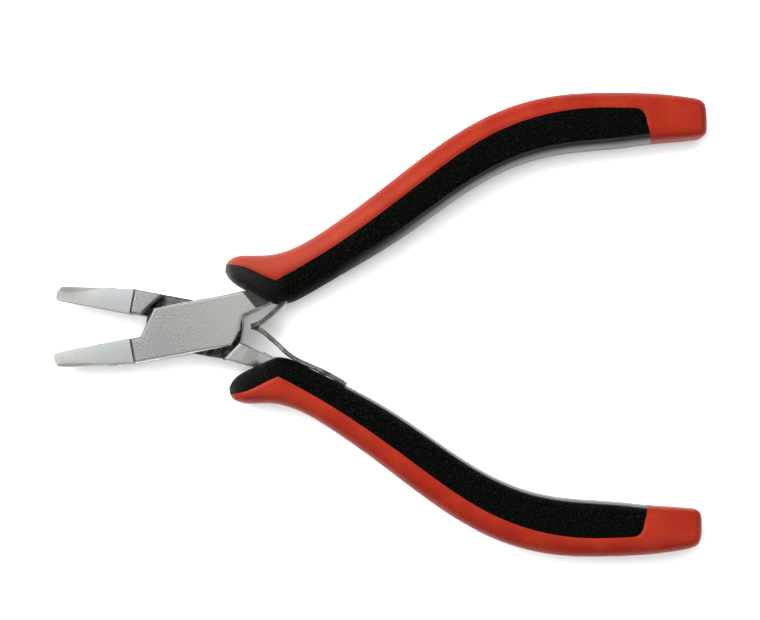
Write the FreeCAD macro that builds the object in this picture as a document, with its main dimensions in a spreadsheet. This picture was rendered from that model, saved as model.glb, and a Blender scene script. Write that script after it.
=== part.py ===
"""Nylon-jaw flat nose pliers with a box joint, two hooked leaf springs and two-colour grips.

Each half is drawn as it stands when the pliers are closed: pivot on Z, jaws towards -X, handles
towards +X, mid-thickness at z = 0. A half's Placement then turns it open about the pivot and lifts
it so that the ground back face of the joint is z = 0. side = +1 is the outer half, whose cheeks
straddle the web of the inner half, side = -1, which is drawn mirrored in Y.
"""
import FreeCAD, Part
import math
import os

import Sketcher
from FreeCAD import Placement, Rotation, Vector

SIZES = {
    # box joint
    "opening": 21.0,
    "joint_thick": 8.6,
    "web_thick": 3.4,
    "side_gap": 0.05,
    "cheek_top": 5.1,
    "cheek_low": 5.25,
    "cheek_corner": 7.3,
    "cheek_toe": 6.8,
    "slot_reach": 10.15,
    "web_reach": 9.85,
    "web_top": 5.5,
    "web_low": 5.2,
    "shoulder_gap": 0.25,
    "edge_break": 0.25,
    "rivet_radius": 2.3,
    "flare_radius": 2.8,
    "flare_depth": 0.5,
    "pivot_gap": 0.04,
    # jaws
    "seam_reach": 13.1,
    "seam_gap": 0.2,
    "jaw_reach": 29.0,
    "jaw_clear": 0.05,
    "jaw_relief": 0.25,
    "jaw_root": 5.2,
    "jaw_nose": 3.0,
    "nose_round": 1.2,
    "nylon_root": 8.2,
    "nylon_tip": 5.6,
    "nylon_round": 0.35,
    "tongue_thick": 3.2,
    "tongue_reach": 26.0,
    "tongue_top": 1.6,
    "tongue_root": 4.0,
    "tongue_nose": 2.4,
    "screw_reach": 18.0,
    "screw_head": 1.2,
    "head_high": 0.8,
    "head_proud": 0.3,
    "shank_radius": 0.8,
    "shank_long": 3.0,
    "driver_wide": 0.4,
    "driver_deep": 0.3,
    # handles
    "outer_tang": 4.4,
    "inner_tang": 6.4,
    "tang_round": 1.6,
    "outer_slope": 2.8,
    "inner_slope": 2.0,
    "grip_thick": 11.6,
    "grip_round": 2.5,
    "nose_corner": 2.4,
    "handle_turn": 0.64,
    "handle_shift": 0.3,
    "handle_stretch": 0.012,
    "stretch_from": 36.8,
    # return springs
    "leaf_thick": 0.9,
    "leaf_wide": 6.4,
    "leaf_neck": 4.6,
    "hook_wide": 2.0,
    "hook_gap": 0.2,
    "stud_radius": 0.8,
    "stud_head": 1.3,
}

# Handle curves, in mm from the pivot, before seat() turns, shifts and stretches them a little on a half.
TANG_LINE = [(14.0, 3.8), (20.0, 5.9), (30.0, 9.7), (41.0, 14.1), (53.0, 19.7), (65.0, 24.3),
             (77.0, 26.3), (90.0, 25.2), (100.0, 23.2)]
TANG_EDGE = 40  # longer than any edge but the tang's own
TANG_WIDTH = [3.7, 3.4, 3.9, 4.4, 4.4, 4.2, 4.0, 3.8, 3.4]
GRIP_BACK = [(11.7, 13.0), (14.5, 12.6), (18.2, 12.05), (22.5, 12.35), (30.0, 14.85), (41.0, 19.95),
             (53.0, 26.0), (65.0, 30.75), (73.0, 32.35), (80.0, 32.6), (92.0, 30.95), (103.0, 28.2),
             (108.7, 25.7)]
GRIP_BELLY = [(108.3, 18.6), (98.0, 19.35), (92.0, 19.75), (80.0, 20.85), (73.0, 20.65),
              (65.0, 18.95), (53.0, 14.1), (41.0, 8.8), (30.0, 5.2), (24.0, 3.5), (18.0, 2.2)]
GRIP_FRONT = [(18.0, 2.2), (15.0, 4.0), (12.3, 5.8), (9.6, 8.3), (8.5, 10.1)]
GRIP_NOSE = (9.3, 12.2)
GRIP_TAIL = (109.4, 22.4)
PART_LINE_FRONT = [(8.0, 12.15), (9.5, 11.65), (12.5, 10.5), (15.8, 8.2), (18.35, 6.45)]
PART_LINE_BACK = [(18.35, 6.45), (24.0, 8.3), (30.0, 10.5), (41.0, 15.4), (53.0, 21.4), (65.0, 26.55),
                  (77.0, 28.8), (86.0, 28.45), (95.0, 26.7)]
INLAY_CORNER = [(95.0, 26.7), (96.9, 25.6), (97.2, 23.0)]
INLAY_END = [(97.2, 23.0), (97.9, 15.0), (18.0, -4.0), (4.0, 6.0), (8.0, 12.15)]

# Leaf springs, in mm on a closed half: one free stretch, then a root of each half's own.
LEAF_FREE = [(11.3, -2.05), (13.0, -1.8), (15.0, -0.85), (17.3, 0.55), (19.8, 2.1)]
LEAF_ROOT = {1: [(22.5, 3.3), (26.0, 4.75)], -1: [(24.0, 3.5), (28.0, 4.45), (32.5, 6.05)]}
STUD_PLACE = {1: (23.9, 4.05), -1: (27.4, 4.3)}
STUD_LONG = {1: 2.6, -1: 4.6}
LEAF_STEP = 18.4
HOOK_LONG = 1.7
# Ridge where the tang root starts to slope: a point of it, and its skew in degrees.
RIDGE = {1: (12.1, 3.0, 28.8), -1: (11.35, 4.05, 26.0)}

ROOT = {1: "outer", -1: "inner"}
ARMS = {1: ("outer_half", "lower", "upper"), -1: ("inner_half", "upper", "lower")}

doc = FreeCAD.newDocument("nylon_jaw_pliers")
sheet = doc.addObject("Spreadsheet::Sheet", "Sizes")
for row, (alias, number) in enumerate(SIZES.items(), 1):
    sheet.set(f"A{row}", alias)
    sheet.set(f"B{row}", str(number))
    sheet.setAlias(f"B{row}", alias)
doc.recompute()


def size(formula):
    """A formula of the sheet's sizes, as a number now."""
    return float(sheet.evalExpression(formula))


def cell(alias):
    return f"Sizes.{alias}"


def new_body(name):
    return doc.addObject("PartDesign::Body", name)


def new_sketch(body, name, role="XY_Plane"):
    sketch = body.newObject("Sketcher::SketchObject", name)
    plane = next(item for item in body.Origin.OriginFeatures if item.Role == role)
    sketch.AttachmentSupport = [(plane, "")]
    sketch.MapMode = "FlatFace"
    return sketch


def polygon(body, name, corners, side=1, role="XY_Plane"):
    """Sketch a closed polygon whose corners are pairs of formulas bound to the sheet."""
    sketch = new_sketch(body, name, role)
    formulas = [(x, f"{side} * ({y})") for x, y in corners]
    points = [Vector(size(x), size(y), 0) for x, y in formulas]
    count = len(points)
    for index in range(count):
        sketch.addGeometry(Part.LineSegment(points[index], points[(index + 1) % count]))
    for index in range(count):
        sketch.addConstraint(Sketcher.Constraint("Coincident", index, 2, (index + 1) % count, 1))
    for index, (point, pair) in enumerate(zip(points, formulas)):
        for kind, value, formula in (("DistanceX", point.x, pair[0]), ("DistanceY", point.y, pair[1])):
            number = sketch.addConstraint(Sketcher.Constraint(kind, -1, 1, index, 1, value))
            sketch.setExpression(f"Constraints[{number}]", formula)
    return sketch


def disc(body, name, radius):
    """Sketch a circle about the pivot, its radius bound to a formula."""
    sketch = new_sketch(body, name)
    sketch.addGeometry(Part.Circle(Vector(0, 0, 0), Vector(0, 0, 1), size(radius)))
    sketch.addConstraint(Sketcher.Constraint("Coincident", 0, 3, -1, 1))
    number = sketch.addConstraint(Sketcher.Constraint("Radius", 0, size(radius)))
    sketch.setExpression(f"Constraints[{number}]", radius)
    return sketch


def closed_curves(body, name, curves):
    """Sketch a closed outline from curves that meet end to end."""
    sketch = new_sketch(body, name)
    for curve in curves:
        sketch.addGeometry(curve)
    for index in range(len(curves)):
        after = (index + 1) % len(curves)
        pairs = [(a, b) for a in (1, 2) for b in (1, 2)]
        here, there = min(pairs, key=lambda ends: sketch.getPoint(index, ends[0]).distanceToPoint(
            sketch.getPoint(after, ends[1])))
        sketch.addConstraint(Sketcher.Constraint("Coincident", index, here, after, there))
    return sketch


def pad(body, sketch, length):
    feature = body.newObject("PartDesign::Pad", sketch.Name + "_pad")
    feature.Profile = sketch
    feature.Midplane = True
    feature.setExpression("Length", length)
    sketch.Visibility = False
    doc.recompute()
    return feature


def pocket(body, sketch, length=None):
    """Cut a sketch both ways from its plane: through everything, or to a stated total width."""
    before = body.Shape.Volume
    feature = body.newObject("PartDesign::Pocket", sketch.Name + "_cut")
    feature.Profile = sketch
    feature.Midplane = True
    if length is None:
        feature.Type = "ThroughAll"
    else:
        feature.setExpression("Length", length)
    doc.recompute()
    if not body.Shape.Volume < before:
        raise RuntimeError(feature.Name + " cut nothing")
    return feature


def edges_where(feature, test):
    return [f"Edge{i}" for i, edge in enumerate(feature.Shape.Edges, 1) if test(edge)]


def dress(body, kind, feature, test, amount):
    """Fillet or chamfer the edges of a feature that pass a test."""
    dressed = body.newObject("PartDesign::" + kind, feature.Name + "_" + kind.lower())
    dressed.Base = (feature, edges_where(feature, test))
    dressed.setExpression("Radius" if kind == "Fillet" else "Size", amount)
    doc.recompute()
    return dressed


def upright(edge):
    low, high = edge.BoundBox.ZMin, edge.BoundBox.ZMax
    return high - low > 1 and edge.BoundBox.XLength < 0.01 and edge.BoundBox.YLength < 0.01


def on_face(height):
    """Test for the edges of the front and back faces at z = +height and -height."""
    return lambda edge: all(abs(abs(v.Point.z) - height) < 1e-6 for v in edge.Vertexes) \
        and edge.BoundBox.ZLength < 1e-6


def seat(point, side):
    """Put a point of the shared handle curves on one half, which turns, shifts and stretches them."""
    middle = Vector(60, 20, 0)
    x, y = point
    x += side * size(cell("handle_stretch")) * (x - size(cell("stretch_from")))
    turned = Rotation(Vector(0, 0, 1), side * size(cell("handle_turn"))).multVec(Vector(x, y, 0) - middle)
    shift = -side * size(cell("handle_shift"))
    return Vector(turned.x + middle.x + shift, side * (turned.y + middle.y), 0)


def spline(points):
    curve = Part.BSplineCurve()
    curve.interpolate(points)
    return curve


def strip(body, name, centre, widths):
    """Sketch a strip about a smooth centre line, with a width at each of its points."""
    line = spline(centre)
    edges = {1: [], -1: []}
    for point, width in zip(centre, widths):
        along = line.tangent(line.parameter(point))[0]
        across = Vector(-along.y, along.x, 0) * (width / 2)
        for hand in edges:
            edges[hand].append(point + across * hand)
    left, right = edges[1], edges[-1][::-1]
    return closed_curves(body, name, [spline(left), Part.LineSegment(left[-1], right[0]),
                                      spline(right), Part.LineSegment(right[-1], left[0])])


def placement(side):
    """How a closed half stands at rest: open by half the opening, back face of the joint at z = 0."""
    lift = Vector(0, 0, size("Sizes.joint_thick / 2"))
    return Placement(lift, Rotation(Vector(0, 0, 1), side * size("Sizes.opening / 2")))


def boolean(kind, label, base, tool):
    """A Part Cut or Common of two objects, as one solid."""
    result = doc.addObject("Part::" + kind, label)
    result.Base = base
    result.Tool = tool
    doc.recompute()
    return result


def group(name, members):
    compound = doc.addObject("Part::Compound", name)
    compound.Links = members
    doc.recompute()
    return compound


def arc(start, middle, end, side):
    """An arc through three points of a closed half."""
    return Part.Arc(*[Vector(x, side * y, 0) for x, y in (start, middle, end)])


def line(start, end, side):
    return Part.LineSegment(*[Vector(x, side * y, 0) for x, y in (start, end)])


def web_outline(body, side):
    """The inner half's web: a band across the pivot whose ends swing on a circle in the slot."""
    reach, low, top = size("Sizes.web_reach"), -size("Sizes.web_low"), size("Sizes.web_top")
    jaw_side, inner = -size("Sizes.seam_reach") + 1, -size("Sizes.jaw_relief")
    on_circle = lambda y: math.sqrt(reach**2 - y**2)
    toe, heel = (on_circle(low), low), (on_circle(1.5), 1.5)
    crest, throat = (-on_circle(top), top), (-on_circle(inner), inner)
    corners = [throat, (jaw_side, inner), (jaw_side, low), toe]
    curves = [line(a, b, side) for a, b in zip(corners, corners[1:])]
    curves.append(arc(toe, (on_circle(low / 2), low / 2), heel, side))
    corners = [heel, (11.0, 1.8), (11.0, top), crest]
    curves += [line(a, b, side) for a, b in zip(corners, corners[1:])]
    curves.append(arc(crest, (-on_circle(top / 2), top / 2), throat, side))
    return closed_curves(body, "web", curves)


def loose_polygon(sketch, points):
    """Add a closed polygon of plain points to a sketch."""
    first = sketch.GeometryCount
    count = len(points)
    for index in range(count):
        sketch.addGeometry(Part.LineSegment(points[index], points[(index + 1) % count]))
    for index in range(count):
        after = first + (index + 1) % count
        sketch.addConstraint(Sketcher.Constraint("Coincident", first + index, 2, after, 1))


def slope_root(body, side):
    """Slope both faces of the tang root down to the thin tang, from a ridge that crosses it askew."""
    ridge_x, ridge_y, skew = RIDGE[side]
    sketch = new_sketch(body, "slope", "XZ_Plane")
    turn = Rotation(Vector(0, 1, 0), side * skew)
    sketch.AttachmentOffset = Placement(Vector(ridge_x, 0, -side * ridge_y), turn)
    which = ROOT[side]
    half, thin, run = size("Sizes.joint_thick / 2"), size(f"Sizes.{which}_tang / 2"), size(f"Sizes.{which}_slope")
    for hand in (1, -1):
        corners = [(0, half), (run, thin), (run + 10, thin), (run + 10, half + 1), (0, half + 1)]
        loose_polygon(sketch, [Vector(x, hand * y, 0) for x, y in corners])
    pocket(body, sketch)


def steel_blank(side):
    """One forged half: jaw shoulder, cheeks or web, tang root, thin tang and jaw tongue."""
    body = new_body("outer_blank" if side == 1 else "inner_blank")
    thick, seam = "Sizes.joint_thick", "-Sizes.seam_reach"
    if side == 1:
        plate = polygon(body, "plate", [
            (seam, "-Sizes.jaw_relief"), ("-Sizes.seam_reach + 2.1", "-Sizes.jaw_relief"),
            ("-Sizes.cheek_corner", "Sizes.cheek_top"), ("13.0", "Sizes.cheek_top"), ("19.0", "6.2"),
            ("19.0", "2.5"), ("10.2", "0.3"), ("9.5", "-0.7"), ("8.95", "-2.45"),
            ("Sizes.cheek_toe", "-Sizes.cheek_low"), (seam, "-Sizes.jaw_root")], side)
        solid = pad(body, plate, thick)
    else:
        pad(body, web_outline(body, side), "Sizes.web_thick")
        slant = "Sizes.shoulder_gap / 0.825"
        jaw = polygon(body, "jaw_shoulder", [
            (seam, "-Sizes.jaw_relief"), (f"-Sizes.seam_reach + 2.1 - {slant}", "-Sizes.jaw_relief"),
            (f"-Sizes.cheek_corner - {slant}", "-Sizes.jaw_root"), (seam, "-Sizes.jaw_root")], side)
        pad(body, jaw, thick)
        root = polygon(body, "tang_root", [
            ("7.05", "5.65"), ("13.5", "5.85"), ("19.0", "7.3"), ("19.0", "3.9"), ("9.8", "1.5")], side)
        solid = pad(body, root, thick)
    dress(body, "Chamfer", solid, on_face(size(thick) / 2), "Sizes.edge_break")
    slope_root(body, side)
    tang = pad(body, strip(body, "tang", [seat(point, side) for point in TANG_LINE], TANG_WIDTH),
               f"Sizes.{ROOT[side]}_tang")
    along = on_face(size(f"Sizes.{ROOT[side]}_tang / 2"))
    dress(body, "Fillet", tang, lambda edge: along(edge) and edge.Length > TANG_EDGE, "Sizes.tang_round")
    tongue = polygon(body, "tongue", [
        ("-Sizes.seam_reach + 0.5", "-Sizes.tongue_top"), ("-Sizes.tongue_reach", "-Sizes.tongue_top + 0.5"),
        ("-Sizes.tongue_reach", "-Sizes.tongue_nose"), ("-Sizes.seam_reach + 0.5", "-Sizes.tongue_root")],
        side)
    pad(body, tongue, "Sizes.tongue_thick")
    if side == 1:
        slot_width = "Sizes.web_thick + 2 * Sizes.side_gap"
        pocket(body, disc(body, "slot", "Sizes.slot_reach"), slot_width)
        pocket(body, polygon(body, "throat", [
            (seam, "0"), ("0", "0"), ("0", "Sizes.cheek_top + 1"), (seam, "Sizes.cheek_top + 1")]), slot_width)
    else:
        pocket(body, disc(body, "pivot_hole", "Sizes.rivet_radius + Sizes.pivot_gap"))
    body.Placement = placement(side)
    return body


def turned(name, profile):
    """A body of revolution about Z from a closed profile of (radius, height) formulas."""
    body = new_body(name)
    sketch = polygon(body, name + "_profile", profile, role="XZ_Plane")
    feature = body.newObject("PartDesign::Revolution", name + "_turned")
    feature.Profile = sketch
    feature.ReferenceAxis = (sketch, ["V_Axis"])
    feature.Angle = 360
    doc.recompute()
    return body


def pivot_rivet():
    """Rivet through the joint, its ends spread into the cheeks and ground flush."""
    half = "Sizes.joint_thick / 2"
    inside = f"{half} - Sizes.flare_depth"
    body = turned("joint_rivet", [
        ("0", f"-({half})"), ("Sizes.flare_radius", f"-({half})"), ("Sizes.rivet_radius", f"-({inside})"),
        ("Sizes.rivet_radius", inside), ("Sizes.flare_radius", half), ("0", half)])
    body.Placement = placement(1)
    return body


def nylon_blank(side):
    """Nylon jaw cover: flat working face, tapered back, thinner towards a rounded tip."""
    body = new_body(("lower" if side == 1 else "upper") + "_nylon_blank")
    base, tip = "-Sizes.seam_reach - Sizes.seam_gap", "-Sizes.jaw_reach"
    outline = polygon(body, "cover", [
        (base, "-Sizes.jaw_relief"), (tip, "-Sizes.jaw_clear"), (tip, "-Sizes.jaw_nose + 0.25"),
        (f"{base} - 0.15", "-Sizes.jaw_root + 0.1")], side)
    solid = pad(body, outline, "Sizes.nylon_root")
    corner = size(tip)
    solid = dress(body, "Fillet", solid,
                  lambda edge: upright(edge) and abs(edge.CenterOfMass.x - corner) < 0.01, "Sizes.nose_round")
    sketch = new_sketch(body, "taper", "XZ_Plane")
    root, thin = size("Sizes.nylon_root / 2"), size("Sizes.nylon_tip / 2")
    start = size(base) + 1
    fall = (root - thin) / (start - corner)
    for hand in (1, -1):
        corners = [(start, root + 1), (start, root), (corner - 1, thin - fall), (corner - 1, root + 1)]
        loose_polygon(sketch, [Vector(x, hand * y, 0) for x, y in corners])
    taper = pocket(body, sketch)
    dress(body, "Fillet", taper, along_jaw, "Sizes.nylon_round")
    body.Placement = placement(side)
    return body


def along_jaw(edge):
    """The long edges of a tapered cover's front and back, and its tip's curved ones."""
    heights = [vertex.Point.z for vertex in edge.Vertexes]
    same_face = min(heights) * max(heights) > 0
    return same_face and max(v.Point.x for v in edge.Vertexes) < -size("Sizes.seam_reach") + 0.5 \
        and edge.BoundBox.XLength > 0.3


def on_half(side, x, y, direction):
    """Placement that lays a turned piece's axis along a direction, at a point of a half."""
    heading = Vector(direction[0], side * direction[1], 0)
    return placement(side) * Placement(Vector(x, side * y, 0), Rotation(Vector(0, 0, 1), heading))


def jaw_screw(side):
    """Small domed screw across the jaw, with a driver slot in its head."""
    under = "(Sizes.head_proud - Sizes.head_high)"
    body = turned(("lower" if side == 1 else "upper") + "_jaw_screw", [
        ("0", "Sizes.head_proud"), ("Sizes.screw_head - 0.3", "Sizes.head_proud"),
        ("Sizes.screw_head", "Sizes.head_proud - 0.25"), ("Sizes.screw_head", under),
        ("Sizes.shank_radius", under), ("Sizes.shank_radius", f"{under} - Sizes.shank_long"),
        ("0", f"{under} - Sizes.shank_long")])
    floor = "Sizes.head_proud - Sizes.driver_deep"
    slot = polygon(body, "driver_slot", [("-2", floor), ("2", floor), ("2", "2"), ("-2", "2")],
                   role="XZ_Plane")
    pocket(body, slot, "Sizes.driver_wide")
    fall = math.atan2(size("Sizes.jaw_root - 0.1 - Sizes.jaw_nose + 0.25"),
                      size("Sizes.jaw_reach - Sizes.seam_reach - Sizes.seam_gap - 0.15"))
    reach = size("Sizes.screw_reach")
    back = -size("Sizes.jaw_root - 0.1") + (reach - size("Sizes.seam_reach + 0.35")) * math.tan(fall)
    body.Placement = on_half(side, -reach, back, (-math.sin(fall), -math.cos(fall)))
    return body


def leaf_spring(side):
    """Leaf spring: wide root, narrower free stretch, and a tongue or a window at the hooked tip."""
    body = new_body(("upper" if side == 1 else "lower") + "_leaf")
    centre = [Vector(x, side * y, 0) for x, y in LEAF_FREE + LEAF_ROOT[side]]
    pad(body, strip(body, "leaf", centre, [size("Sizes.leaf_thick")] * len(centre)), "Sizes.leaf_wide")
    hook = LEAF_FREE[0][0] + HOOK_LONG
    trims = [(LEAF_STEP, "Sizes.leaf_neck / 2")]
    if side == -1:
        trims.append((hook, "Sizes.hook_wide / 2"))
    for reach, depth in trims:
        for hand in (1, -1):
            edge, outside = f"{hand} * {depth}", f"{hand} * Sizes.leaf_wide"
            pocket(body, polygon(body, "trim", [
                ("5", edge), (str(reach), edge), (str(reach), outside), ("5", outside)], role="XZ_Plane"))
    if side == 1:
        half = "(Sizes.hook_wide / 2 + Sizes.hook_gap)"
        pocket(body, polygon(body, "window", [
            ("5", f"-{half}"), (str(hook), f"-{half}"), (str(hook), half), ("5", half)], role="XZ_Plane"))
    body.Placement = placement(side)
    return body


def spring_rivet(side):
    """Rivet that holds a leaf spring's root to the tang: flat-headed, or countersunk and flush."""
    half = "Sizes.leaf_thick / 2"
    end = f"{half} + {STUD_LONG[side]}"
    if side == 1:
        head = [("0", f"-({half}) - 0.5"), ("Sizes.stud_head", f"-({half}) - 0.5"),
                ("Sizes.stud_head", f"-({half})"), ("Sizes.stud_radius", f"-({half})")]
    else:
        head = [("0", f"-({half})"), ("Sizes.stud_head", f"-({half})"), ("Sizes.stud_radius", "0")]
    body = turned(("upper" if side == 1 else "lower") + "_spring_rivet",
                  head + [("Sizes.stud_radius", end), ("0", end)])
    centre = spline([Vector(x, y, 0) for x, y in LEAF_FREE + LEAF_ROOT[side]])
    place = centre.parameter(Vector(*STUD_PLACE[side], 0))
    spot, along = centre.value(place), centre.tangent(place)[0]
    body.Placement = on_half(side, spot.x, spot.y, (-along.y, along.x))
    return body


def grip_blank(side):
    """The whole two-colour grip as one smooth solid, before it is parted."""
    body = new_body(("upper" if side == 1 else "lower") + "_grip_blank")
    back, belly, front = [[seat(point, side) for point in points]
                          for points in (GRIP_BACK, GRIP_BELLY, GRIP_FRONT)]
    outline = closed_curves(body, "grip", [
        spline(back), Part.Arc(back[-1], seat(GRIP_TAIL, side), belly[0]), spline(belly), spline(front),
        Part.Arc(front[-1], seat(GRIP_NOSE, side), back[0])])
    solid = pad(body, outline, "Sizes.grip_thick")
    corners = dress(body, "Fillet", solid, sharp_upright(solid), "Sizes.nose_corner")
    dress(body, "Fillet", corners, on_face(size("Sizes.grip_thick") / 2), "Sizes.grip_round")
    body.Placement = placement(side)
    return body


def sharp_upright(feature):
    """Test for upright edges whose two faces meet at a real corner."""
    def test(edge):
        if not upright(edge):
            return False
        middle = edge.CenterOfMass
        normals = []
        for face in feature.Shape.Faces:
            if any(edge.isSame(other) for other in face.Edges):
                u, v = face.Surface.parameter(middle)
                normals.append(face.normalAt(u, v))
        return len(normals) == 2 and normals[0].getAngle(normals[1]) > math.radians(20)
    return test


def inlay_zone(side):
    """The black side of the parting line, as a prism through the grip."""
    body = new_body(("upper" if side == 1 else "lower") + "_inlay_zone")
    front, back, corner, end = [[seat(point, side) for point in points] for points in
                                (PART_LINE_FRONT, PART_LINE_BACK, INLAY_CORNER, INLAY_END)]
    curves = [spline(front), spline(back), Part.Arc(*corner)]
    curves += [Part.LineSegment(a, b) for a, b in zip(end, end[1:])]
    pad(body, closed_curves(body, "zone", curves), "Sizes.grip_thick + 4")
    body.Placement = placement(side)
    return body


nodes = {}


def keep(label, item):
    """Label a finished sub-part with the name of its file."""
    item.Label = label
    nodes[label] = item


rivet = pivot_rivet()
keep("joint_rivet", rivet)
for side, (steel_name, jaw, handle) in ARMS.items():
    blank = steel_blank(side)
    screw, leaf, stud = jaw_screw(side), leaf_spring(side), spring_rivet(side)
    pins = [screw, stud] + ([rivet] if side == 1 else [])
    keep(steel_name, boolean("Cut", steel_name, blank, group(steel_name + "_pins", pins)))
    jaw_core = group(jaw + "_jaw_core", [blank, screw])
    keep(jaw + "_nylon_jaw", boolean("Cut", jaw + "_cover", nylon_blank(side), jaw_core))
    keep(jaw + "_jaw_screw", screw)
    keep(handle + "_leaf_spring", boolean("Cut", handle + "_sprung", leaf, stud))
    keep(handle + "_spring_rivet", stud)
    whole, zone = grip_blank(side), inlay_zone(side)
    grip_core = group(handle + "_grip_core", [blank, leaf, stud])
    red = boolean("Cut", handle + "_red", whole, zone)
    black = boolean("Common", handle + "_black", whole, zone)
    keep(handle + "_grip_shell", boolean("Cut", handle + "_shell", red, grip_core))
    keep(handle + "_grip_inlay", boolean("Cut", handle + "_inlay", black, grip_core))

doc.recompute()
for item in doc.Objects:
    if "Invalid" in item.State or "Error" in item.State:
        raise RuntimeError(f"{item.Label} failed: {item.State}")
os.makedirs("parts", exist_ok=True)
for label, item in nodes.items():
    shape = item.Shape
    if shape.isNull() or not shape.isValid():
        raise RuntimeError(f"{label} has no valid shape")
    print(f"{label}: {len(shape.Solids)} solid, {shape.Volume:.1f} mm3")
    shape.exportStep(f"parts/{label}.step")
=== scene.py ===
"""Looks of the nylon-jaw pliers: moulded grips, leaf springs, nylon covers and materials.

Shapes are drawn in mm on a closed half (pivot on Z, jaws towards -X, mid-thickness at z = 0), as the
CAD model is, and rest() puts them on the open pliers in metres. side = +1 is the outer half, whose
handle is the upper one, and side = -1 the inner half, drawn mirrored in Y.
"""
import math

import bmesh
import bpy
import numpy as np
from mathutils import Matrix, Vector


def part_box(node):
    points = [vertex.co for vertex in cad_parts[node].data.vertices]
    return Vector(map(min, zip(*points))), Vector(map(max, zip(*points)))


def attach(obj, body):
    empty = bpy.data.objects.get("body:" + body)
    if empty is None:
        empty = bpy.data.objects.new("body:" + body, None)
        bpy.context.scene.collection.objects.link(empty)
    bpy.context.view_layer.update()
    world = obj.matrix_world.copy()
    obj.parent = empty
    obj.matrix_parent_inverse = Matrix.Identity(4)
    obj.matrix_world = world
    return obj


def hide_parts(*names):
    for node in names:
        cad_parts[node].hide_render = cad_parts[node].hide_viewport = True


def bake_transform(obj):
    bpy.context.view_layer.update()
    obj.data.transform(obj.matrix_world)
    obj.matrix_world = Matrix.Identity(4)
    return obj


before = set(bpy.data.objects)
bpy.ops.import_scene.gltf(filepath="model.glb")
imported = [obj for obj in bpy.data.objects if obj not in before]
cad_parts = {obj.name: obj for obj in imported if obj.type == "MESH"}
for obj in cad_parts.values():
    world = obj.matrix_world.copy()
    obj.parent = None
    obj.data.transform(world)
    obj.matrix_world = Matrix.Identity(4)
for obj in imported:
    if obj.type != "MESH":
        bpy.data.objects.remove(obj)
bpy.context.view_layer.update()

MM = 0.001
HALF_OPEN = math.radians(10.5)
ARMS = {1: ("outer_arm", "upper", "lower"), -1: ("inner_arm", "lower", "upper")}
joint_low, joint_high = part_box("outer_half")
MID_Z = (joint_low.z + joint_high.z) / 2
grip_low, grip_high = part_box("upper_grip_shell")
GRIP_HALF = (grip_high.z - grip_low.z) / 2 / MM
FLOOR_Z = grip_low.z

# Camera, sheet and lights, in metres and watts. A light shines on everything, or on the sheet only.
VIEW_MIDDLE = Vector((0.0377, 0.0034, 0.0))
VIEW_WIDTH, SENSOR_WIDTH = 0.15504, 36.0
CAMERA_HEIGHT, CAMERA_ASIDE = 0.50, 0.021
SHEET_REACH = 1.5
FAR_GLOW, NEAR_GLOW, OVERHEAD_GLOW = 0.35, 1.3, 0.04
LIGHTS = [("key", (-0.30, 0.34, 0.60), 0.40, 5.2, "all"),
          ("fill", (0.36, -0.34, 0.55), 0.50, 1.2, "all"),
          ("sheet_light", (-0.18, 0.20, 0.70), 1.10, 18.0, "sheet")]

# Handle curves of a closed half, before each half's own turn and shift.
BACK = [(8.6, 10.3), (9.25, 12.05), (11.5, 13.0), (14.5, 12.65), (18.2, 12.05), (22.5, 12.35), (30.0, 14.85),
        (41.0, 19.95), (53.0, 26.0), (65.0, 30.75), (73.0, 32.35), (80.0, 32.6), (92.0, 30.95),
        (103.0, 28.2), (106.4, 26.95), (108.1, 26.1), (108.95, 25.2), (109.25, 23.9)]
BELLY = [(8.6, 10.3), (9.1, 8.9), (12.3, 5.8), (14.7, 3.95), (16.8, 2.6), (18.6, 2.25), (24.0, 3.4),
         (30.0, 5.2), (41.0, 8.8), (53.0, 14.1), (65.0, 18.95), (73.0, 20.65), (80.0, 20.85),
         (92.0, 19.75), (98.0, 19.35), (103.0, 18.85), (107.0, 18.5), (108.5, 18.55), (109.05, 18.9),
         (109.25, 19.6)]
# The parting line in three stretches, then the way round outside the handle, whose inner points are 3.
PARTING = [[(6.0, 12.9), (8.0, 12.15), (9.5, 11.65), (12.5, 10.5), (15.8, 8.2), (18.35, 6.45)],
           [(18.35, 6.45), (24.0, 8.3), (30.0, 10.5), (41.0, 15.4), (53.0, 21.4), (65.0, 26.55),
            (77.0, 28.8), (86.0, 28.45), (95.0, 26.7)],
           [(95.0, 26.7), (96.3, 26.2), (97.0, 25.2), (97.2, 23.0)],
           [(97.2, 23.0), (97.9, 12.0), (18.0, -6.0), (0.0, 6.0), (6.0, 12.9)]]
WAY_ROUND = 3
HANDLE_MIDDLE = (60.0, 20.0)
HANDLE_TURN = math.radians(0.64)
HANDLE_SHIFT = 0.3
HANDLE_STRETCH, STRETCH_FROM = 0.012, 36.8
TAIL_SLANT, TAIL_FROM, TAIL_LONG = 0.18, 97.0, 12.0
HEEL_SAG, HEEL_X, HEEL_WIDE = {1: 0.7, -1: -0.25}, 23.0, 8.5
WAIST_DEEP, WAIST_X, WAIST_WIDE = 0.35, 27.0, 9.0
THIN_DEEP, THIN_FROM, THIN_LONG = 0.5, 92.0, 18.0
NOSE_END, TAIL_END = (4.2, 0.97), (1.5, 0.6)
BOXY_FROM, BOXY_LONG = 25.0, 30.0
PARTING_DROP = {1: 0.0, -1: 0.45}

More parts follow.
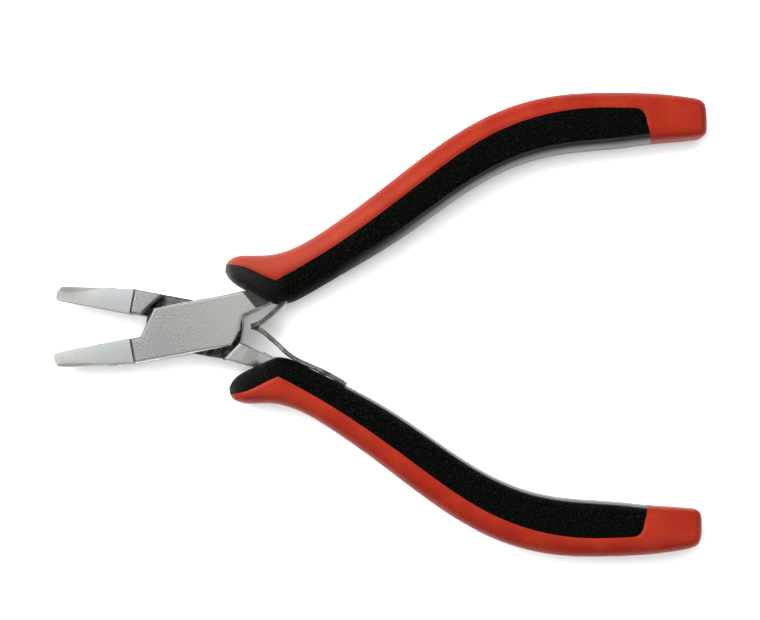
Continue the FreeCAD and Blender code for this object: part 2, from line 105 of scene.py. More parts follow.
JAW_ROOT_X, JAW_TIP_X = 13.3, {1: 29.2, -1: 28.7}
JAW_WIDE, JAW_THICK = (5.2, 3.0), (8.2, 5.6)
JAW_NOSE_IN, JAW_NOSE_OUT = {1: 1.2, -1: 0.5}, {1: 0.9, -1: 1.25}
JAW_EASE = 0.3
JAW_NOSE_LONG, JAW_ROWS, JAW_NOSE_ROWS = 1.6, 50, 18
JAW_BEVEL, BEVEL_LONG, BEVEL_WIDE, BEVEL_DEEP = {1: 0.35, -1: 0.8}, 8.5, 1.9, 0.75
# Painted shade on the jaws' bevel flank: strength by side, and where it starts and fades in.
JAW_FLANK_SHADE, FLANK_SHADE_FROM, FLANK_SHADE_FADE = {1: 0.0, -1: 0.8}, 20.5, 5.0
JAW_FLANK = {5, 6, 7, 10, 11, 12}

# Powers of the grip's rounded-box section, across and through: by the nose, then belly and back.
NOSE_POWERS, BELLY_POWERS, BACK_POWERS = (2.9, 3.1), (4.6, 4.2), (2.8, 3.0)
GRIP_ROWS, GRIP_AROUND = 230, 128
PRISM_HALF = 9.0
GROOVE_DEEP, GROOVE_WIDE = 0.28, 0.32
# Smooth, glossier edge strip along the black's inner side, also painted lighter as a painted reflection:
# width by side, and where it starts and grows.
SMOOTH_SHEEN_EDGE, EDGE_FROM = {1: 1.6, -1: 0.7}, 16.0
EDGE_STARTS, EDGE_GROWS = {1: 30, -1: 15}, 25.0
# Noses of the black: smoother and glossier, and painted lighter brown as a painted highlight; strength by
# side, and where it ends and fades.
NOSE_SHEEN_AND_SMOOTH, NOSE_TO, NOSE_FADE = {1: 1.0, -1: 0.35}, 20.0, 8.0
# Painted highlight on the red's outer band towards the nose: strength by side, and where it ends and fades.
PAINTED_SHEEN, SHEEN_TO, SHEEN_FADE = {1: 0.55, -1: 0.08}, 52.0, 36.0

EDGE_ROUND, RIVET_CLEAR = 0.45, 3.3

LEAF_FREE = [(11.3, -2.05), (13.0, -1.8), (15.0, -0.85), (17.3, 0.55), (19.8, 2.1)]
LEAF_ROOT = {1: [(22.5, 3.3), (26.0, 4.75)], -1: [(24.0, 3.5), (28.0, 4.45), (32.5, 6.05)]}
LEAF_HALF_THICK, LEAF_EASE = 0.45, 0.2
LEAF_HALF_WIDE, LEAF_HALF_NECK = 3.2, 2.3
LEAF_STEP = 18.4
HOOK_LONG = 1.7
TONGUE_HALF, FORK_INSIDE = 1.0, 1.2


def seat(points, side):
    """Seat handle points on one half, as an array of (x, y), not yet mirrored."""
    points = np.array(points, float)
    points[:, 0] += side * HANDLE_STRETCH * (points[:, 0] - STRETCH_FROM)
    offset = points - HANDLE_MIDDLE
    turn = HANDLE_TURN
    x = offset[:, 0] * math.cos(turn) - side * offset[:, 1] * math.sin(turn)
    y = offset[:, 1] * math.cos(turn) + side * offset[:, 0] * math.sin(turn)
    return np.column_stack([x + HANDLE_MIDDLE[0] - side * HANDLE_SHIFT, y + HANDLE_MIDDLE[1]])


def rest(side):
    """Matrix from a closed half in mm to the open pliers in metres, mirroring the inner half."""
    mirror = Matrix.Diagonal((1, side, 1, 1))
    turn = Matrix.Rotation(side * HALF_OPEN, 4, "Z")
    return Matrix.Translation((0, 0, MID_Z)) @ turn @ Matrix.Scale(MM, 4) @ mirror


def smooth(points, count):
    """Points evenly spaced along a natural cubic spline through the given ones."""
    points = np.array(points, float)
    chord = np.concatenate([[0], np.cumsum(np.linalg.norm(np.diff(points, axis=0), axis=1))])
    size = len(points)
    gap = np.diff(chord)
    system = np.eye(size)
    right = np.zeros_like(points)
    for row in range(1, size - 1):
        system[row, row - 1:row + 2] = gap[row - 1], 2 * (gap[row - 1] + gap[row]), gap[row]
        slope = (points[row + 1] - points[row]) / gap[row] - (points[row] - points[row - 1]) / gap[row - 1]
        right[row] = 6 * slope
    bend = np.linalg.solve(system, right)
    where = np.linspace(0, 1, count) * chord[-1]
    piece = np.clip(np.searchsorted(chord, where, side="right") - 1, 0, size - 2)
    before, after = (chord[piece + 1] - where)[:, None], (where - chord[piece])[:, None]
    width = gap[piece][:, None]
    start, end = bend[piece], bend[piece + 1]
    curve = (start * before**3 + end * after**3) / (6 * width)
    curve += (points[piece] / width - start * width / 6) * before
    curve += (points[piece + 1] / width - end * width / 6) * after
    return curve


def make_mesh(name, vertices, faces):
    """A linked object with the given skin, in mm on the closed half."""
    mesh = bpy.data.meshes.new(name)
    mesh.from_pydata([tuple(v) for v in vertices], [], faces)
    piece = bpy.data.objects.new(name, mesh)
    bpy.context.scene.collection.objects.link(piece)
    outward(mesh)
    return piece


def outward(mesh):
    """Turn all faces to the outside."""
    work = bmesh.new()
    work.from_mesh(mesh)
    bmesh.ops.recalc_face_normals(work, faces=work.faces)
    work.to_mesh(mesh)
    work.free()


def set_down(piece, side, material, degrees):
    """Put a finished piece on the open pliers, in its material, smooth but for edges over an angle."""
    mesh = piece.data
    mesh.transform(rest(side))
    outward(mesh)
    mesh.materials.clear()
    mesh.materials.append(material)
    for polygon in mesh.polygons:
        polygon.use_smooth = True
    sharpen(mesh, degrees)


def tube(rings):
    """Vertices and faces of a closed skin over rings of equal length, with flat ends."""
    count, around = len(rings), len(rings[0])
    vertices = [point for ring in rings for point in ring]
    faces = []
    for row in range(count - 1):
        for col in range(around):
            nxt = (col + 1) % around
            faces.append((row * around + col, row * around + nxt,
                          (row + 1) * around + nxt, (row + 1) * around + col))
    faces.append(tuple(range(around)))
    faces.append(tuple((count - 1) * around + col for col in range(around)))
    return vertices, faces


def apply_modifiers(piece):
    """Replace a piece's mesh with what its modifiers make of it."""
    graph = bpy.context.evaluated_depsgraph_get()
    made = bpy.data.meshes.new_from_object(piece.evaluated_get(graph))
    piece.modifiers.clear()
    piece.data = made


# ---------------------------------------------------------------- materials

class Nodes:
    """A material's node tree, with short ways to add and join nodes."""

    def __init__(self, name):
        self.material = bpy.data.materials.new(name)
        self.material.use_nodes = True
        self.tree = self.material.node_tree
        self.shader = self.tree.nodes["Principled BSDF"]
        self.place = self.add("ShaderNodeTexCoord").outputs["Object"]

    def add(self, kind, **values):
        node = self.tree.nodes.new(kind)
        for key, value in values.items():
            setattr(node, key, value)
        return node

    def join(self, source, target):
        self.tree.links.new(source, target)

    def put(self, socket, value):
        """Set a socket to a number or colour, or feed it from another socket."""
        if isinstance(value, bpy.types.NodeSocket):
            self.join(value, socket)
        else:
            socket.default_value = value

    def stretched(self, scale):
        mapping = self.add("ShaderNodeMapping")
        mapping.inputs["Scale"].default_value = scale
        self.join(self.place, mapping.inputs["Vector"])
        return mapping.outputs["Vector"]

    def noise(self, size, detail=2.0, stretch=(1, 1, 1), rough=0.5):
        """Noise whose lumps are about size mm across."""
        node = self.add("ShaderNodeTexNoise")
        node.inputs["Scale"].default_value = 1 / (size * MM)
        node.inputs["Detail"].default_value = detail
        node.inputs["Roughness"].default_value = rough
        self.join(self.stretched(stretch), node.inputs["Vector"])
        return node.outputs["Fac"]

    def cells(self, size, feature="F1"):
        """Distance to the nearest of cells about size mm across."""
        node = self.add("ShaderNodeTexVoronoi", feature=feature)
        node.inputs["Scale"].default_value = 1 / (size * MM)
        self.join(self.place, node.inputs["Vector"])
        return node.outputs["Distance"]

    def math(self, kind, first, second=0.0, third=0.0):
        node = self.add("ShaderNodeMath", operation=kind)
        for socket, value in zip(node.inputs, (first, second, third)):
            self.put(socket, value)
        return node.outputs["Value"]

    def ramp(self, value, low, high, out_low=0.0, out_high=1.0):
        """Smooth step of a value from low to high, between two outputs."""
        node = self.add("ShaderNodeMapRange", interpolation_type="SMOOTHSTEP")
        for key, number in (("From Min", low), ("From Max", high), ("To Min", out_low), ("To Max", out_high)):
            node.inputs[key].default_value = number
        self.join(value, node.inputs["Value"])
        return node.outputs["Result"]

    def mix(self, share, first, second):
        node = self.add("ShaderNodeMix", data_type="RGBA")
        colours = [socket for socket in node.inputs if socket.type == "RGBA"]
        self.put(node.inputs["Factor"], share)
        self.put(colours[0], first)
        self.put(colours[1], second)
        return next(socket for socket in node.outputs if socket.type == "RGBA")

    def attribute(self, name):
        return self.add("ShaderNodeAttribute", attribute_name=name).outputs["Fac"]

    def bump(self, height, depth, strength=1.0, under=None):
        """Bump of depth mm for a height that runs from 0 to 1."""
        node = self.add("ShaderNodeBump")
        node.inputs["Strength"].default_value = strength
        node.inputs["Distance"].default_value = depth * MM
        self.join(height, node.inputs["Height"])
        if under is not None:
            self.join(under, node.inputs["Normal"])
        return node.outputs["Normal"]

    def set(self, **values):
        """Set the shader's sockets; an underscore stands for a space."""
        for key, value in values.items():
            self.put(self.shader.inputs[key.replace("_", " ")], value)


def axis_share(nodes, axis):
    """How much the surface faces along one axis, from 0 to 1."""
    split = nodes.add("ShaderNodeSeparateXYZ")
    nodes.join(nodes.add("ShaderNodeNewGeometry").outputs["Normal"], split.inputs[0])
    return nodes.math("ABSOLUTE", split.outputs[axis])


def steel_material():
    """Ground satin steel, dark and lumpy where the forging was left as it came, painted paler towards +X, and
    with painted edge highlights and painted edge shade.
    """
    n = Nodes("ground_steel")
    split = n.add("ShaderNodeSeparateXYZ")
    n.join(n.place, split.inputs[0])
    off_middle = n.math("ABSOLUTE", n.math("SUBTRACT", split.outputs["Z"], MID_Z))
    deep = n.ramp(off_middle, 1.78 * MM, 1.95 * MM, 1.0, 0.0)
    facing = n.ramp(axis_share(n, "Z"), 0.6, 0.9)
    raw = n.math("MULTIPLY", deep, facing)
    grain = n.noise(0.20, 4.0, (1.0, 0.6, 1.0), 0.75)
    cloud = n.noise(3.5, 3.0)
    satin = n.mix(n.ramp(grain, 0.38, 0.62), (0.28, 0.28, 0.27, 1), (0.58, 0.58, 0.565, 1))
    satin = n.mix(n.ramp(cloud, 0.35, 0.7, 0.0, 0.3), satin, (0.40, 0.40, 0.39, 1))
    # painted highlight: the steel is painted paler towards +X, a painted brightness gradient
    satin = n.mix(n.ramp(split.outputs["X"], -0.008, 0.012, 0.0, 0.45), satin, (0.66, 0.66, 0.635, 1))
    lump = n.noise(1.1, 5.0, (1, 1, 1), 0.6)
    scale = n.mix(n.ramp(lump, 0.35, 0.68), (0.045, 0.041, 0.037, 1), (0.27, 0.255, 0.235, 1))
    colour = n.mix(raw, satin, scale)
    rough = n.math("ADD", n.ramp(grain, 0.3, 0.7, 0.40, 0.55), n.math("MULTIPLY", raw, 0.12))
    flat, smooth_normal = eased_normal(n, split)
    # painted light: bright and dark edges painted into the steel's colour
    colour = paint_edge_highlight_and_shade(n, colour, flat, smooth_normal)
    fine = n.bump(grain, 0.012, 1.0, smooth_normal)
    rough_height = n.math("MULTIPLY", lump, raw)
    n.set(Base_Color=colour, Metallic=1.0, Roughness=rough, Normal=n.bump(rough_height, 0.5, 1.0, fine))
    return n.material


def eased_normal(n, split):
    """The surface's own normal, and one that is rounded at edges but for the rivet's flush ring."""
    bevel = n.add("ShaderNodeBevel", samples=8)
    bevel.inputs["Radius"].default_value = EDGE_ROUND * MM
    flat = n.add("ShaderNodeNewGeometry").outputs["Normal"]
    off_axis = n.math("SQRT", n.math("ADD", n.math("POWER", split.outputs["X"], 2.0),
                                     n.math("POWER", split.outputs["Y"], 2.0)))
    eased = n.add("ShaderNodeMix", data_type="VECTOR")
    n.join(n.ramp(off_axis, RIVET_CLEAR * MM, (RIVET_CLEAR + 0.3) * MM), eased.inputs["Factor"])
    vectors = [socket for socket in eased.inputs if socket.type == "VECTOR"]
    n.join(flat, vectors[-2])
    n.join(bevel.outputs["Normal"], vectors[-1])
    return flat, next(socket for socket in eased.outputs if socket.type == "VECTOR")


def paint_edge_highlight_and_shade(n, colour, flat, smooth_normal):
    """Painted highlights and painted shade on edges: those that lean to -Y or +X are painted bright, and
    those that lean to +Y or -X are painted dark.
    """
    turned = n.add("ShaderNodeVectorMath", operation="DOT_PRODUCT")
    n.join(flat, turned.inputs[0])
    n.join(smooth_normal, turned.inputs[1])
    edge = n.ramp(turned.outputs["Value"], 0.93, 0.997, 1.0, 0.0)
    lean = n.add("ShaderNodeSeparateXYZ")
    n.join(smooth_normal, lean.inputs[0])
    painted_highlight_side = n.math("MAXIMUM", n.ramp(lean.outputs["Y"], -0.50, -0.25, 1.0, 0.0),
                       n.ramp(lean.outputs["X"], 0.15, 0.40))
    # painted highlight: near-white on edges leaning to -Y or +X
    colour = n.mix(n.math("MULTIPLY", edge, painted_highlight_side), colour, (0.97, 0.97, 0.95, 1))
    # painted shade: near-black on edges leaning to +Y or -X
    painted_shade_side = n.math("MAXIMUM", n.ramp(lean.outputs["Y"], 0.05, 0.25),
                      n.ramp(lean.outputs["X"], -0.30, -0.10, 1.0, 0.0))
    painted_shade_side = n.math("MULTIPLY", painted_shade_side, n.ramp(lean.outputs["X"], 0.10, 0.30, 1.0, 0.0))
    return n.mix(n.math("MULTIPLY", edge, n.math("MULTIPLY", painted_shade_side, 0.85)), colour, (0.05, 0.05, 0.047, 1))


def spring_material():
    """Dark tempered spring steel, with drawn scratches along the strip."""
    n = Nodes("spring_steel")
    streak = n.noise(0.15, 3.0, (0.12, 0.12, 1.0))
    cloud = n.noise(2.5, 2.0)
    colour = n.mix(n.ramp(streak, 0.3, 0.7), (0.30, 0.295, 0.265, 1), (0.60, 0.59, 0.54, 1))
    colour = n.mix(n.ramp(cloud, 0.4, 0.7, 0.0, 0.5), colour, (0.12, 0.115, 0.11, 1))
    n.set(Base_Color=colour, Metallic=1.0, Roughness=n.ramp(streak, 0.3, 0.7, 0.28, 0.42),
          Normal=n.bump(streak, 0.01))
    return n.material


def fastener_material(name, tint):
    """Turned steel of small screws and rivets."""
    n = Nodes(name)
    grain = n.noise(0.12, 3.0)
    dark, light = (tint * 0.8, tint * 0.8, tint * 0.77, 1), (tint, tint, tint * 0.97, 1)
    n.set(Base_Color=n.mix(n.ramp(grain, 0.3, 0.7), dark, light), Metallic=1.0,
          Roughness=n.ramp(grain, 0.3, 0.7, 0.26, 0.42), Normal=n.bump(grain, 0.006))
    return n.material


def nylon_material():
    """Milky nylon, slightly see-through, with faint cool and warm clouds under a satin skin, painted paler
    towards the tips as a painted highlight and painted darker on the upper jaw's bevel flank as painted
    shade.
    """
    n = Nodes("nylon")
    split = n.add("ShaderNodeSeparateXYZ")
    n.join(n.place, split.inputs[0])
    cool = n.noise(6.0, 2.5)
    warm = n.noise(5.0, 2.5, (1.0, 1.8, 1.0))
    speck = n.noise(0.28, 4.0, rough=0.7)
    # painted highlight: the nylon is painted paler towards the tips
    colour = n.mix(n.ramp(split.outputs["X"], -0.028, -0.014), (0.80, 0.785, 0.73, 1), (0.59, 0.615, 0.61, 1))
    colour = n.mix(n.ramp(cool, 0.40, 0.68, 0.0, 0.7), colour, (0.56, 0.68, 0.70, 1))
    colour = n.mix(n.ramp(warm, 0.42, 0.72, 0.0, 0.5), colour, (0.76, 0.70, 0.62, 1))
    colour = n.mix(n.ramp(speck, 0.35, 0.65, 0.0, 0.35), colour, (0.48, 0.49, 0.48, 1))
    # painted shade: the bevel flank is painted dark grey
    colour = n.mix(n.attribute("painted_flank_shade"), colour, (0.30, 0.31, 0.31, 1))
    n.set(Base_Color=colour, Roughness=n.ramp(speck, 0.3, 0.7, 0.34, 0.5), Subsurface_Weight=0.3,
          Subsurface_Scale=0.0015, Specular_IOR_Level=0.5, Coat_Weight=0.2, Coat_Roughness=0.25,
          Normal=n.bump(speck, 0.02))
    n.shader.inputs["Subsurface Radius"].default_value = (1.0, 0.95, 0.9)
    return n.material


def red_material():
    """Smooth satin red elastomer, with a painted highlight: paler on the outer band towards the nose, mostly
    on the upper handle.
    """
    n = Nodes("red_grip")
    cloud = n.noise(9.0, 2.0)
    pore = n.noise(0.35, 3.0)
    colour = n.mix(n.ramp(cloud, 0.35, 0.65), (0.56, 0.032, 0.014, 1), (0.66, 0.049, 0.019, 1))
    colour = n.mix(n.ramp(pore, 0.40, 0.75, 0.0, 0.5), colour, (0.46, 0.024, 0.012, 1))
    # painted highlight: the red is painted paler on the outer band towards the nose
    colour = n.mix(n.attribute("painted_sheen"), colour, (0.80, 0.185, 0.115, 1))
    n.set(Base_Color=colour, Roughness=n.ramp(pore, 0.3, 0.7, 0.48, 0.6), Specular_IOR_Level=0.26,
          Specular_Tint=(1.0, 0.66, 0.52, 1), Normal=n.bump(pore, 0.03))
    return n.material


def black_material():
    """Black elastomer: stippled on its faces with painted glints, smooth and glossier along the edge by the
    fingers and at the noses; the edge strip is also painted lighter as a painted reflection, and the noses
    lighter brown as a painted highlight.
    """
    n = Nodes("black_grip")
    stipple = n.cells(0.45)
    grit = n.noise(0.24, 3.0, rough=0.7)
    smooth_and_painted_sheen_edge, nose = n.attribute("smooth_and_painted_sheen_edge"), n.attribute("nose")
    field = n.math("MULTIPLY", n.math("SUBTRACT", 1.0, smooth_and_painted_sheen_edge),
                   n.math("SUBTRACT", 1.0, n.math("MULTIPLY", nose, 0.4)))
    height = n.math("MULTIPLY", n.math("ADD", n.math("MULTIPLY", stipple, 0.8), grit), field)
    # painted glints: light grey specks painted onto the stipple
    painted_glint = n.math("MULTIPLY", n.ramp(n.noise(0.28, 3.0, rough=0.8), 0.54, 0.72), field)
    face = n.mix(n.ramp(grit, 0.30, 0.60), (0.0004, 0.0010, 0.0004, 1), (0.0020, 0.0031, 0.0020, 1))
    face = n.mix(painted_glint, face, (0.060, 0.068, 0.058, 1))
    # painted highlight: the noses are painted lighter brown
    face = n.mix(n.math("MULTIPLY", nose, 0.7), face, (0.016, 0.011, 0.009, 1))
    shine = n.math("MAXIMUM", n.math("MULTIPLY", smooth_and_painted_sheen_edge, 0.42), n.math("MULTIPLY", nose, 0.3))
    # painted reflection: the smooth edge strip is painted lighter grey
    n.set(Base_Color=n.mix(smooth_and_painted_sheen_edge, face, (0.028, 0.028, 0.027, 1)), Normal=n.bump(height, 0.22),
          Roughness=n.math("ADD", n.math("MULTIPLY", field, 0.22), n.ramp(grit, 0.3, 0.7, 0.32, 0.42)),
          Specular_IOR_Level=n.math("ADD", 0.03, shine))
    return n.material


# ---------------------------------------------------------------- grips

def height_of(points, x):
    """Height at x of the spline through the points."""
    curve = smooth(points, 1500)
    order = np.argsort(curve[:, 0])
    return np.interp(x, curve[order, 0], curve[order, 1])


def grip_rings(side):
    """Rounded-box sections across the handle, nose to tail, in mm on the closed half."""
    back, belly = seat(BACK, side), seat(BELLY, side)
    first, last = back[0, 0] + 0.02, back[-1, 0] - 0.02
    angle = np.linspace(0, math.pi, 41)
    nose_part = first + (1 - np.cos(angle[:21])) * 5
    tail_part = last - (1 - np.cos(angle[:15]))[::-1] * 6
    rows = GRIP_ROWS - len(nose_part) - len(tail_part)
    middle = np.linspace(nose_part[-1], tail_part[0], rows + 2)[1:-1]
    stations = np.concatenate([nose_part, middle, tail_part])
    top, low = height_of(back, stations), height_of(belly, stations)
    low = low - HEEL_SAG[side] * np.exp(-((stations - HEEL_X) / HEEL_WIDE) ** 2)
    from_nose, from_tail = stations - first, last - stations
    swell = GRIP_HALF - WAIST_DEEP * np.exp(-((stations - WAIST_X) / WAIST_WIDE) ** 2)
    swell = swell - THIN_DEEP * np.clip((stations - THIN_FROM) / THIN_LONG, 0, 1)
    for distance, (reach, shrink) in ((from_nose, NOSE_END), (from_tail, TAIL_END)):
        share = np.clip(distance / reach, 0, 1)
        swell = swell * np.sqrt(1 - (1 - share) ** 2 * shrink)
    turn = np.linspace(0, 2 * math.pi, GRIP_AROUND, endpoint=False)
    rings = []
    for x, high, bottom, half in zip(stations, top, low, swell):
        middle_y, reach = (high + bottom) / 2, max((high - bottom) / 2, 0.05)
        boxy = min(max((x - BOXY_FROM) / BOXY_LONG, 0), 1)
        crown, flat = (nose + (np.where(np.cos(turn) < 0, belly_power, back_power) - nose) * boxy
                       for nose, belly_power, back_power in zip(NOSE_POWERS, BELLY_POWERS, BACK_POWERS))
        across = np.sign(np.cos(turn)) * np.abs(np.cos(turn)) ** (2 / crown)
        through = np.sign(np.sin(turn)) * np.abs(np.sin(turn)) ** (2 / flat)
        ys = middle_y + reach * across
        slant = TAIL_SLANT * np.clip((x - TAIL_FROM) / TAIL_LONG, 0, 1) ** 2
        rings.append([(x + slant * (y - 22), y, half * t) for y, t in zip(ys, through)])
    return rings


def parting_outline(side):
    """Outline of the black side: the parting line's three stretches, and a way round outside."""
    outline = []
    for stretch, count in zip(PARTING, (24, 120, 12, None)):
        points = seat(stretch, side)
        points[:, 1] -= PARTING_DROP[side] * np.clip((points[:, 0] - 30) / 40, 0, 1)
        outline.extend(points[:-1] if count is None else smooth(points, count)[:-1])
    return outline


def cutter(side):
    """Prism of the black side of the parting line."""
    ends = [[(x, y, z) for x, y in parting_outline(side)] for z in (-PRISM_HALF, PRISM_HALF)]
    return make_mesh("parting_prism", *tube(ends))


def split_grip(side, keep, name):
    """The red or the black share of a grip, by a boolean with the parting prism."""
    piece = make_mesh(name, *tube(grip_rings(side)))
    prism = cutter(side)
    modifier = piece.modifiers.new("part", "BOOLEAN")
    modifier.operation = keep
    modifier.solver = "EXACT"
    modifier.object = prism
    apply_modifiers(piece)
    bpy.data.objects.remove(prism)
    return piece


def nearest_gap(points, line):
    """Distance of each point from a line of short steps, in mm."""
    gaps = np.full(len(points), 1e9)
    for start, end in zip(line, line[1:]):
        step = end - start
        if step @ step > 1e-9:
            share = np.clip((points - start) @ step / (step @ step), 0, 1)
            gaps = np.minimum(gaps, np.linalg.norm(points - start - share[:, None] * step, axis=1))
    return gaps


def finish_grip(piece, side, material):
    """Roll the skin in along the parting line, and mark the smooth edge with its painted reflection, the
    noses with their painted highlight, and the red's painted highlight.
    """
    mesh = piece.data
    places = np.zeros(len(mesh.vertices) * 3)
    mesh.vertices.foreach_get("co", places)
    places = places.reshape(-1, 3)
    low, high = height_of(seat(BELLY, side), places[:, 0]), height_of(seat(BACK, side), places[:, 0])
    parting = np.array(parting_outline(side)[:-WAY_ROUND])
    groove = GROOVE_DEEP * np.exp(-(nearest_gap(places[:, :2], parting) / GROOVE_WIDE) ** 2)
    inward = np.column_stack([np.zeros(len(places)), ((low + high) / 2 - places[:, 1]) * 0.35, -places[:, 2]])
    inward /= np.maximum(np.linalg.norm(inward, axis=1), 1e-6)[:, None]
    # smooth edge strip, glossier and also painted lighter as a painted reflection, wider on the upper handle
    edge = np.clip((SMOOTH_SHEEN_EDGE[side] - (places[:, 1] - low)) / 0.3, 0, 1) * (places[:, 0] > EDGE_FROM)
    places = places + inward * (groove * skin_share(places, low, high))[:, None]
    edge = edge * np.clip((places[:, 0] - EDGE_STARTS[side]) / EDGE_GROWS, 0, 1)
    mesh.vertices.foreach_set("co", places.reshape(-1))
    # noses: smoother, and painted lighter as a painted highlight, strong on the upper handle
    nose = NOSE_SHEEN_AND_SMOOTH[side] * np.clip((NOSE_TO - places[:, 0]) / NOSE_FADE, 0, 1)
    outer = np.clip((places[:, 1] - low) / (high - low) * 2 - 0.9, 0, 1)
    # painted highlight on the outer band towards the nose, strong on the upper handle
    painted_sheen = PAINTED_SHEEN[side] * np.clip((SHEEN_TO - places[:, 0]) / SHEEN_FADE, 0, 1) * outer
    for name, share in (("smooth_and_painted_sheen_edge", edge), ("nose", nose), ("painted_sheen", painted_sheen)):
        attribute = mesh.attributes.new(name, "FLOAT", "POINT")
        attribute.data.foreach_set("value", share.astype(np.float32))
    set_down(piece, side, material, 38)


def skin_share(local, low, high):
    """1 for points on the grip's outer skin and 0 for those on the walls cut inside it."""
    middle, reach = (low + high) / 2, np.maximum((high - low) / 2, 0.05)
    across = np.abs((local[:, 1] - middle) / reach)
    through = np.abs(local[:, 2]) / GRIP_HALF
    radius = across ** NOSE_POWERS[0] + through ** NOSE_POWERS[1]
    return np.clip((radius - 0.7) / 0.2, 0, 1)


def sharpen(mesh, degrees):
    """Mark edges sharper than an angle, so that smooth shading stops there."""
    work = bmesh.new()
    work.from_mesh(mesh)
    limit = math.radians(degrees)
    for edge in work.edges:
        if len(edge.link_faces) == 2:
            edge.smooth = edge.calc_face_angle(0) < limit
    work.to_mesh(mesh)
    work.free()


def build_grips(red, black):
    """The red shell and the black inlay of both handles."""
    for side, (body, handle, _) in ARMS.items():
        for keep, material, part, slot in (("DIFFERENCE", red, "shell", "red_grip"),
                                           ("INTERSECT", black, "inlay", "black_grip")):
            piece = split_grip(side, keep, f"{handle}_grip_{part}_skin")
            finish_grip(piece, side, material)
            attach(piece, body)
            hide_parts(f"{handle}_grip_{part}")


# ---------------------------------------------------------------- leaf springs

def strip(name, line, across, widths):
    """Strip with eased edges along a line, with a low and a high z at each of its points."""
    thick, ease = LEAF_HALF_THICK, LEAF_EASE
    rings = []
    for point, normal, (low, high) in zip(line, across, widths):
        ring = [(-thick + ease, low), (thick - ease, low), (thick, low + ease),
                (thick, high - ease), (thick - ease, high), (-thick + ease, high),
                (-thick, high - ease), (-thick, low + ease)]
        rings.append([(*(point + normal * depth), z) for depth, z in ring])
    return make_mesh(name, *tube(rings))


def leaf_spring(side, material):
    """Leaf spring swept along its line, with eased edges, a neck, and a tongue or fork at the tip."""
    body, handle, _ = ARMS[side]
    line = smooth(LEAF_FREE + LEAF_ROOT[side], 120)
    along = np.gradient(line, axis=0)
    along /= np.linalg.norm(along, axis=1)[:, None]
    across = np.column_stack([-along[:, 1], along[:, 0]])
    hook = LEAF_FREE[0][0] + HOOK_LONG
    root, tip = line[:, 0] > hook, line[:, 0] <= hook
    half_wide = [LEAF_HALF_NECK if x < LEAF_STEP else LEAF_HALF_WIDE for x in line[root, 0]]
    pieces = [strip("leaf_root", line[root], across[root], [(-half, half) for half in half_wide])]
    tongue = [(-TONGUE_HALF, TONGUE_HALF)]
    fork = [(FORK_INSIDE, LEAF_HALF_NECK), (-LEAF_HALF_NECK, -FORK_INSIDE)]
    for low, high in (fork if side == 1 else tongue):
        pieces.append(strip("leaf_tip", line[tip], across[tip], [(low, high)] * len(line[tip])))
    spring = join(pieces, f"{handle}_leaf_spring_strip")
    set_down(spring, side, material, 25)
    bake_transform(spring)
    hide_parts(f"{handle}_leaf_spring")


def join(pieces, name):
    """One piece from several meshes."""
    whole = bmesh.new()
    for piece in pieces:
        whole.from_mesh(piece.data)
        bpy.data.objects.remove(piece)
    mesh = bpy.data.meshes.new(name)
    whole.to_mesh(mesh)
    whole.free()
    made = bpy.data.objects.new(name, mesh)
    bpy.context.scene.collection.objects.link(made)
    return made


# ---------------------------------------------------------------- nylon jaws

def corner(centre, radius, start, count=5):
    """Quarter turn of a rounded corner in (y, z), from a starting angle in quarter turns."""
    turn = (start + np.linspace(0, 1, count)) * math.pi / 2
    return [(centre[0] + radius * math.cos(a), centre[1] + radius * math.sin(a)) for a in turn]


def jaw_section(x, inner, outer, half, wide, deep):
    """Section of a nylon jaw: soft corners inside, and outside a worn bevel, wide by deep."""
    ease = min(JAW_EASE, (inner - outer) * 0.3, half * 0.3)
    ring = corner((inner - ease, half - ease), ease, 0)
    ring += [(outer + wide + ease, half), (outer + wide + ease * 0.5, half - 0.03),
             (outer + ease * 0.4, half - deep), (outer, half - deep - ease * 0.6)]
    return [(x, y, z) for y, z in ring] + [(x, y, -z) for y, z in reversed(ring)]


def quarter(left, radius):
    """How far a rounded corner has drawn in, at a distance left before its end."""
    inside = 1 - min(left / radius, 1)
    return radius * (1 - math.sqrt(max(1 - inside ** 2, 0)))


